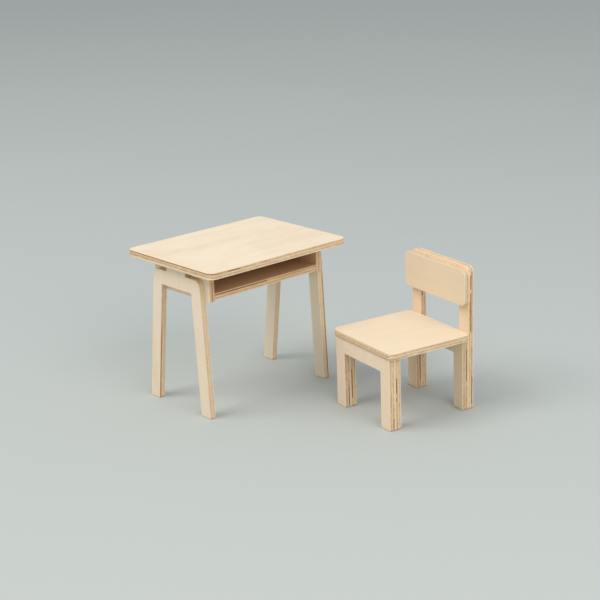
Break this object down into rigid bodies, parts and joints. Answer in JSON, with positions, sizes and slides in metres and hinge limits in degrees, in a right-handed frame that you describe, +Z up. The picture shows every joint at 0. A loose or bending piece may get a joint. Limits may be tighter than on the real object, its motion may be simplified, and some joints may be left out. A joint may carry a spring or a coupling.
{
  "type": "plywood school desk and chair set",
  "caption": "Plywood school desk with an open book box on splayed leg frames, and a matching chair with a rounded seat, layered front legs and a rounded backrest.",
  "frame": {"origin": "on the floor, at the middle of the footprint of the desk and chair together", "axes": "+X along the desk to its right end, +Y to the desk's rear, +Z up; the chair stands off the desk's front right corner"},
  "size_m": [0.1486, 0.1874, 0.104],
  "materials": {
    "desk_plywood": "pale sanded plywood, bare",
    "chair_plywood": "pale sanded plywood, bare"
  },
  "bodies": {
    "desk": {"desk_top": "desk_plywood", "desk_left_leg_frame": "desk_plywood", "desk_right_leg_frame": "desk_plywood", "desk_left_box_side": "desk_plywood", "desk_right_box_side": "desk_plywood", "desk_shelf": "desk_plywood", "desk_back_panel": "desk_plywood"},
    "chair": {"chair_seat": "chair_plywood", "chair_front_frame_outer": "chair_plywood", "chair_front_frame_inner": "chair_plywood", "chair_rear_low_frame": "chair_plywood", "chair_back_frame": "chair_plywood", "chair_backrest": "chair_plywood"}
  },
  "joints": [
    {"name": "chair_slide", "type": "slide", "parent": "desk", "child": "chair", "axis": [0.9857, -0.1685, 0], "range_m": [-0.04, 0.05]}
  ]
}
